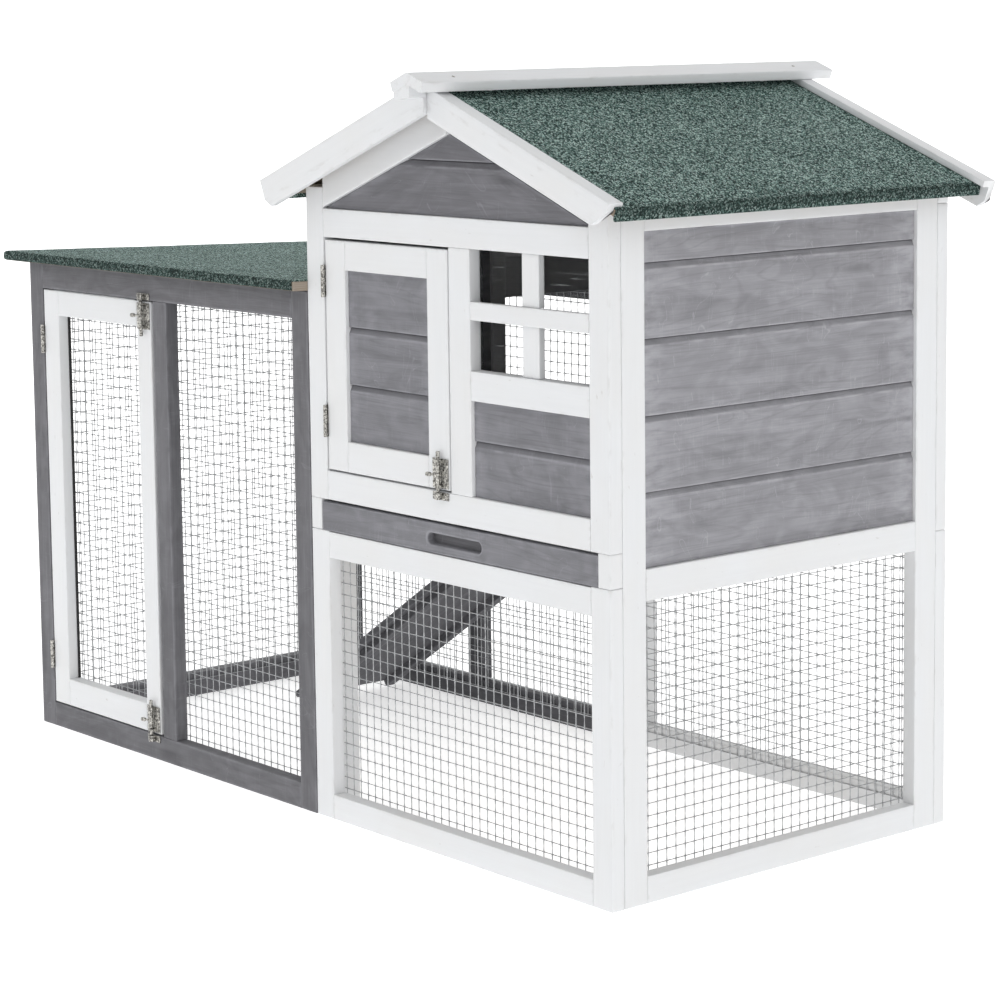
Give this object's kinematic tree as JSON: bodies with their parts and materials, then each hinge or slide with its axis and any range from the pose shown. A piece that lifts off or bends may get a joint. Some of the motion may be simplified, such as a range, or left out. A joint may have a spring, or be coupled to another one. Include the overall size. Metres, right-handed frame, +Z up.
{
  "type": "rabbit hutch",
  "caption": "Wooden rabbit hutch: gabled house with planked cabin, pull-out tray and wire room below, joined to a low felt-roofed wire run with a hinged ramp.",
  "frame": {"origin": "middle of the footprint, on the ground", "axes": "+X along the length towards the house, -Y towards the doors, +Z up"},
  "size_m": [1.241, 0.646, 0.8998],
  "materials": {
    "white_paint": "white painted softwood, satin, brushed along the grain",
    "grey_stain": "grey stained softwood, matt, brush streaked",
    "green_felt": "green mineral granules on bitumen roofing felt, rough",
    "bare_ply": "bare plywood, dry",
    "galvanised_wire": "galvanised welded wire",
    "galvanised_sheet": "galvanised sheet",
    "zinc_plate": "zinc plated pressings, satin",
    "clear_sheet": "clear acrylic sheet, faint scratches"
  },
  "bodies": {
    "hutch": {"back_lower_frame": "white_paint", "back_lower_mesh": "galvanised_wire", "back_planks": "grey_stain", "back_upper_frame": "white_paint", "barge_back_left": "white_paint", "barge_back_right": "white_paint", "barge_front_left": "white_paint", "barge_front_right": "white_paint", "floor_sheet": "bare_ply", "front_gable_planks": "grey_stain", "front_lower_frame": "white_paint", "front_lower_mesh": "galvanised_wire", "front_planks": "grey_stain", "front_upper_frame": "white_paint", "house_door_bolt_keeper": "zinc_plate", "house_door_hinge_low_fixed_leaf": "zinc_plate", "house_door_hinge_top_fixed_leaf": "zinc_plate", "left_side_frame": "white_paint", "left_side_planks": "grey_stain", "ramp_hinge_fixed_leaf": "zinc_plate", "ridge_cap": "white_paint", "right_side_frame": "white_paint", "right_side_mesh": "galvanised_wire", "right_side_planks": "grey_stain", "roof_board_left": "bare_ply", "roof_board_right": "bare_ply", "roof_felt_left": "green_felt", "roof_felt_right": "green_felt", "run_back_frame": "grey_stain", "run_back_mesh": "galvanised_wire", "run_door_bolt_low_keeper": "zinc_plate", "run_door_bolt_top_keeper": "zinc_plate", "run_door_hinge_low_fixed_leaf": "zinc_plate", "run_door_hinge_top_fixed_leaf": "zinc_plate", "run_end_frame": "grey_stain", "run_end_mesh": "galvanised_wire", "run_front_frame": "grey_stain", "run_front_mesh": "galvanised_wire", "run_roof_board": "bare_ply", "run_roof_felt": "green_felt", "window_bars": "white_paint", "window_pane": "clear_sheet"},
    "house_door": {"house_door_frame": "white_paint", "house_door_planks": "grey_stain", "house_door_hinge_low_moving_leaf": "zinc_plate", "house_door_hinge_top_moving_leaf": "zinc_plate", "house_door_bolt_plate": "zinc_plate"},
    "house_bolt": {"house_door_bolt_rod": "zinc_plate"},
    "run_door": {"run_door_frame": "white_paint", "run_door_mesh": "galvanised_wire", "run_door_hinge_low_moving_leaf": "zinc_plate", "run_door_hinge_top_moving_leaf": "zinc_plate", "run_door_bolt_low_plate": "zinc_plate", "run_door_bolt_top_plate": "zinc_plate"},
    "run_bolt_top": {"run_door_bolt_top_rod": "zinc_plate"},
    "run_bolt_low": {"run_door_bolt_low_rod": "zinc_plate"},
    "tray": {"tray_front": "grey_stain", "tray_pan": "galvanised_sheet"},
    "ramp": {"ramp_board": "grey_stain", "ramp_hinge_moving_leaf": "zinc_plate"}
  },
  "joints": [
    {"name": "house_door_hinge", "type": "hinge", "parent": "hutch", "child": "house_door", "pos_m": [0.07695, -0.2698, 0.5646], "axis": [0, 0, -1], "range_deg": [0, 110]},
    {"name": "run_door_hinge", "type": "hinge", "parent": "hutch", "child": "run_door", "pos_m": [-0.55755, -0.2698, 0.3181], "axis": [0, 0, -1], "range_deg": [0, 110]},
    {"name": "house_bolt_slide", "type": "slide", "parent": "house_door", "child": "house_bolt", "axis": [0, 0, -1], "range_m": [0, 0.009]},
    {"name": "run_bolt_top_slide", "type": "slide", "parent": "run_door", "child": "run_bolt_top", "axis": [0, 0, 1], "range_m": [0, 0.009]},
    {"name": "run_bolt_low_slide", "type": "slide", "parent": "run_door", "child": "run_bolt_low", "axis": [0, 0, -1], "range_m": [0, 0.009]},
    {"name": "tray_slide", "type": "slide", "parent": "hutch", "child": "tray", "axis": [0, -1, 0], "range_m": [0, 0.4]},
    {"name": "ramp_hinge", "type": "hinge", "parent": "hutch", "child": "ramp", "pos_m": [0.0393, 0.1445, 0.33], "axis": [0, 1, 0], "range_deg": [0, 34]}
  ]
}
